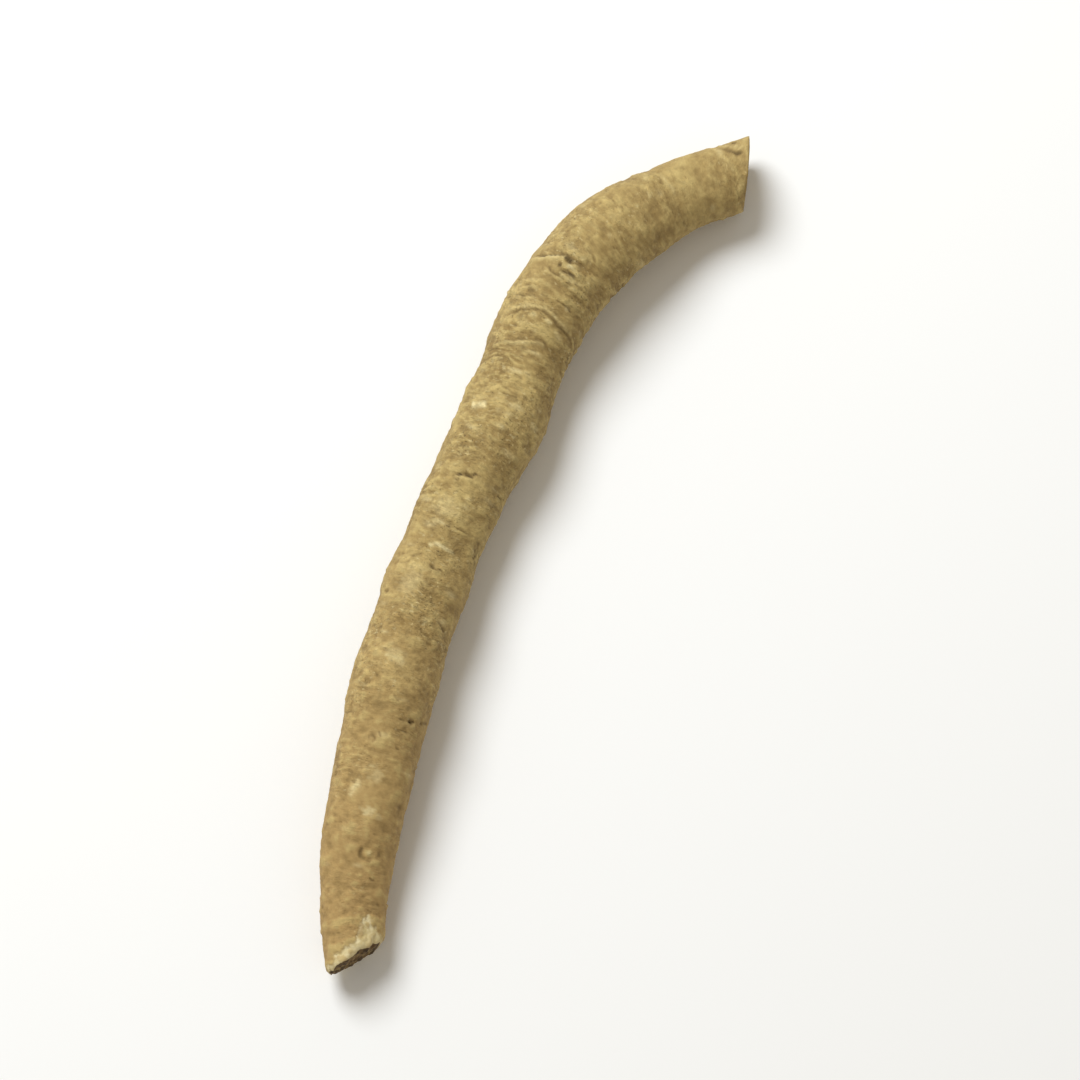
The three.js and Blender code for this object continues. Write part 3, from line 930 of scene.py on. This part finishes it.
# The same wood, sawn across when it was fresh: dull straw, with hair-fine rays, a faint ring where growth
# stopped, a soft brown pith, a rim of bark and painted shade in its splits.
sawnWood = {
    "wood": "#AE9868",
    "ray": "#C2AF80",
    "ring": "#8A7146",
    "bark": "#705A36",
    "pith": "#6A5230",
    "shadeAndDirt": "#33240F",
    "rayScale": 26,  # patches in a turn round the face, about 0.2 mm wide at the rim
    "ringScale": 2.2,  # rings in a millimetre, coarser than real
    "barkFrom": 3.95,
    "barkTo": 4.3,
    "bumpHeight": 0.08,
    "roughness": 0.82,
    "ior": 1.5,
}


def sawnFinish():
    material = newMaterial("sawn root wood")
    tree = material.node_tree
    place = addNode(tree, "Attribute", {}, "Vector", attribute_name="rootPlace")
    shadeAndDirt = addNode(tree, "Attribute", {}, "Fac", attribute_name="paintedHollowShade")
    across = addNode(tree, "VectorMath", {0: place, 1: (1, 1, 0)}, operation="MULTIPLY")
    fromHeart = addNode(tree, "VectorMath", {0: across}, "Value", operation="LENGTH")
    outward = addNode(tree, "VectorMath", {0: across}, operation="NORMALIZE")
    rays = addNode(tree, "TexNoise", {"Vector": outward, "Scale": sawnWood["rayScale"], "Detail": 2})
    ringSettings = {"W": fromHeart, "Scale": sawnWood["ringScale"], "Detail": 2}
    rings = addNode(tree, "TexNoise", ringSettings, noise_dimensions="1D")
    clouds = addNode(tree, "TexNoise", {"Vector": across, "Scale": 1.1, "Detail": 4, "Roughness": 0.65})
    colour = linearColour(sawnWood["wood"])
    layers = [
        (rays, 0.45, 0.7, 0.55, "ray"),
        (rays, 0.45, 0.3, 0.35, "ring"),
        (rings, 0.5, 0.7, 0.45, "ring"),
        (clouds, 0.5, 0.3, 0.5, "ring"),
        (clouds, 0.5, 0.7, 0.4, "ray"),
        (fromHeart, 0.75, 0.3, 0.7, "pith"),
        (fromHeart, sawnWood["barkFrom"], sawnWood["barkTo"], 0.8, "bark"),
        (shadeAndDirt, 0.15, 0.8, 0.9, "shadeAndDirt"),
    ]
    for driver, start, full, amount, tint in layers:
        share = addNode(tree, "MapRange", {0: driver, 1: start, 2: full, 3: 0, 4: amount})
        inputs = {0: share, 6: colour, 7: linearColour(sawnWood[tint])}
        colour = addNode(tree, "Mix", inputs, 2, data_type="RGBA")
    relief = addNode(tree, "Math", {0: rays, 1: clouds}, operation="ADD")
    bump = addNode(tree, "Bump", {"Height": relief, "Strength": 1, "Distance": sawnWood["bumpHeight"] * mm})
    surface = addNode(tree, "BsdfPrincipled", {
        "Base Color": colour, "Roughness": sawnWood["roughness"], "IOR": sawnWood["ior"], "Normal": bump,
    })
    addNode(tree, "OutputMaterial", {"Surface": surface})
    return material


driedRoot.data.materials.append(barkFinish())
driedRoot.data.materials.append(snappedFinishInShade())
driedRoot.data.materials.append(sawnFinish())
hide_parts(root["cadNode"])
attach(driedRoot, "root")
report("finished the surfaces")

# A plain, pale, matt paper floor and soft light from the upper left.
studio = {
    "floorColour": "#F4F3F1",
    "floorSize": 4.0,
    "floorDrop": 0.02,  # millimetres under the root, so that the two don't share a plane
    "keyFrom": (-0.38, 0.52, 0.83),
    "keyDistance": 0.75,
    "keySize": 0.42,
    "keyPower": 5.8,
    "keyColour": "#F5FAFF",
    "skyColour": "#FFF8EA",
    "skyStrength": 0.42,
}
camera = {"elevation": 76, "distance": 0.430, "lens": 109.4, "sensor": 36.0}


def buildStudio():
    half = studio["floorSize"] / 2
    z = -studio["floorDrop"] * mm
    mesh = bpy.data.meshes.new("studio_floor")
    corners = [(-half, -half, z), (half, -half, z), (half, half, z), (-half, half, z)]
    mesh.from_pydata(corners, [], [(0, 1, 2, 3)])
    floor = bpy.data.objects.new("studio_floor", mesh)
    bpy.context.scene.collection.objects.link(floor)
    paper = newMaterial("matt paper")
    surface = addNode(paper.node_tree, "BsdfPrincipled", {
        "Base Color": linearColour(studio["floorColour"]), "Roughness": 0.9,
    })
    addNode(paper.node_tree, "OutputMaterial", {"Surface": surface})
    mesh.materials.append(paper)

    middle = (cadLow + cadHigh) / 2
    light = bpy.data.lights.new("key_light", "AREA")
    light.shape, light.size, light.energy = "DISK", studio["keySize"], studio["keyPower"]
    light.color = linearColour(studio["keyColour"])[:3]
    key = bpy.data.objects.new("key_light", light)
    way = Vector(studio["keyFrom"]).normalized()
    key.location = middle + way * studio["keyDistance"]
    key.rotation_euler = way.to_track_quat("Z", "Y").to_euler()
    bpy.context.scene.collection.objects.link(key)

    sky = bpy.data.worlds.new("studio_sky")
    sky.use_nodes = True
    background = sky.node_tree.nodes["Background"]
    background.inputs["Color"].default_value = linearColour(studio["skyColour"])
    background.inputs["Strength"].default_value = studio["skyStrength"]
    bpy.context.scene.world = sky


def placeCamera():
    data = bpy.data.cameras.new("camera")
    data.lens, data.sensor_width = camera["lens"], camera["sensor"]
    data.clip_start = 0.01
    lookFrom = bpy.data.objects.new("camera", data)
    lift = math.radians(camera["elevation"])
    back = Vector((0, -math.cos(lift), math.sin(lift)))
    lookFrom.location = (cadLow + cadHigh) / 2 + back * camera["distance"]
    lookFrom.rotation_euler = back.to_track_quat("Z", "Y").to_euler()
    bpy.context.scene.collection.objects.link(lookFrom)
    bpy.context.scene.camera = lookFrom


buildStudio()
placeCamera()
bpy.context.scene.view_settings.view_transform = "Standard"

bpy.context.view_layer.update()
report("ready")
